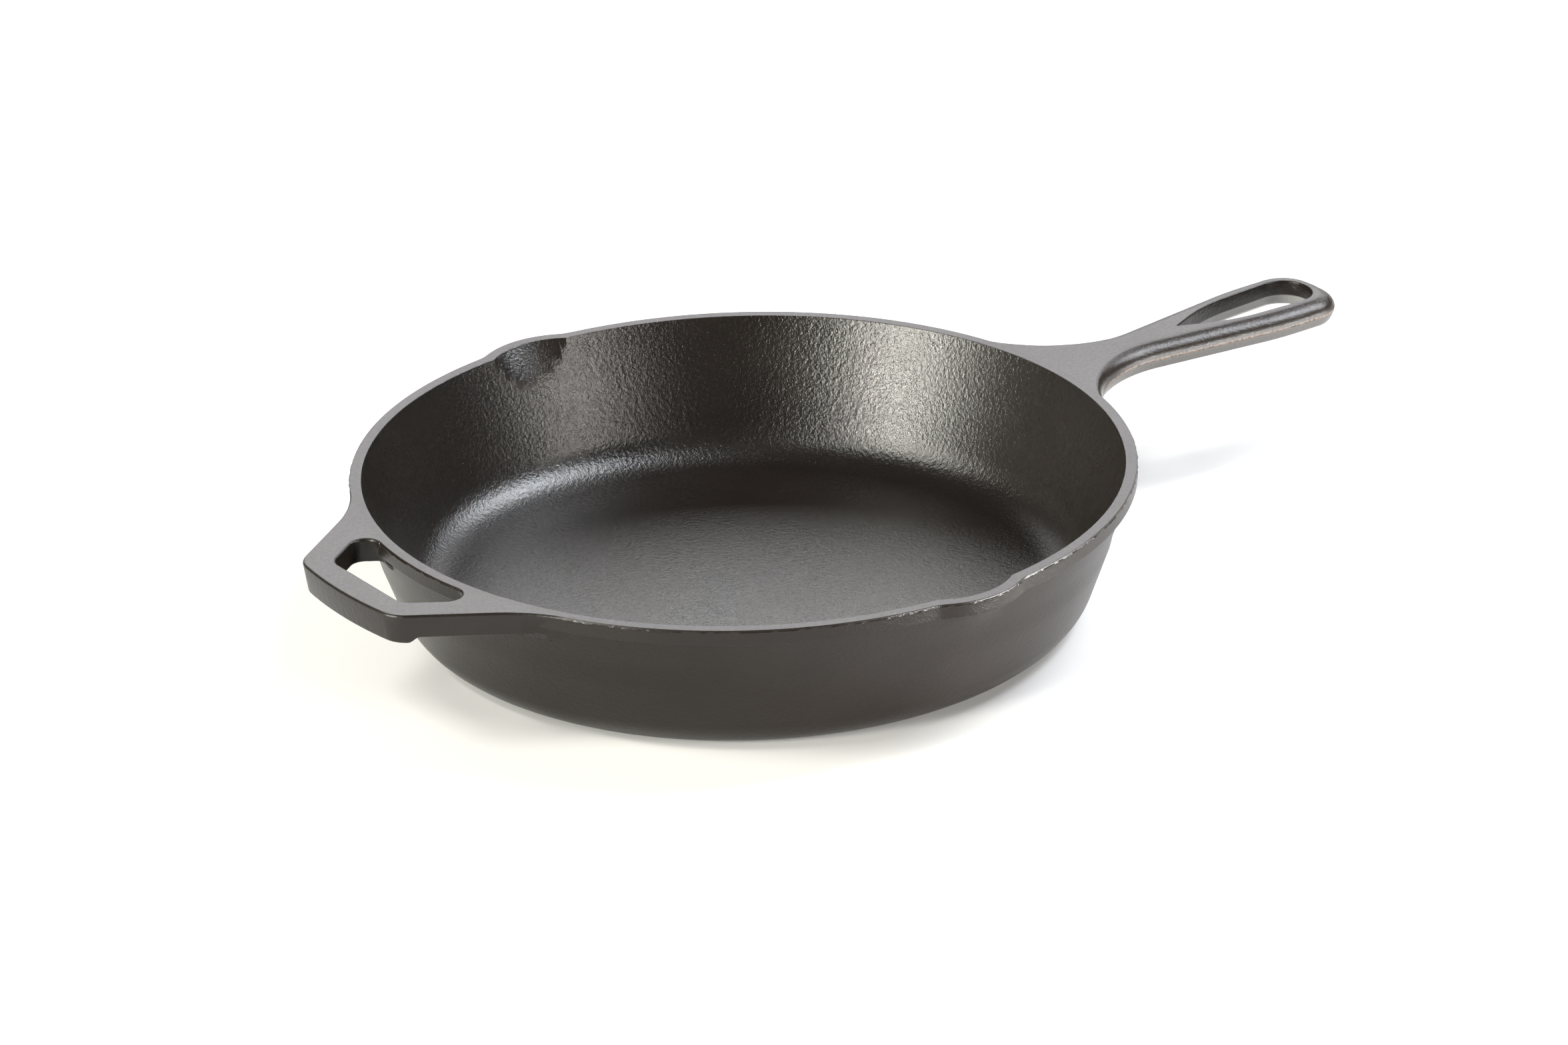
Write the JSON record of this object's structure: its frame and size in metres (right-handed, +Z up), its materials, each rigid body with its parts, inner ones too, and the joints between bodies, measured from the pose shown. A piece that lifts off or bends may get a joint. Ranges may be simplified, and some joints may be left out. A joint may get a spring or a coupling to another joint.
{
  "type": "cast iron skillet",
  "caption": "Round sloping-sided cast iron frying pan with pour spouts, a long handle with a teardrop hanging hole and a short looped helper handle opposite.",
  "frame": {"origin": "centre of the flat underside, at the level that the pan stands on", "axes": "+Z up out of the pan's mouth, +X along the long handle, Y through the pour spouts"},
  "size_m": [0.4066, 0.2688, 0.0502],
  "materials": {
    "seasoned_iron": "seasoned, fine sand-cast grain",
    "rim_iron": "seasoned, worn matt on the upper faces"
  },
  "bodies": {
    "root": {"cooking_floor": "seasoned_iron", "heel_ring": "seasoned_iron", "side_wall": "seasoned_iron", "rim_band": "rim_iron", "left_pour_spout": "seasoned_iron", "right_pour_spout": "seasoned_iron", "handle_root": "rim_iron", "long_handle": "rim_iron", "helper_handle": "rim_iron"}
  },
  "joints": []
}
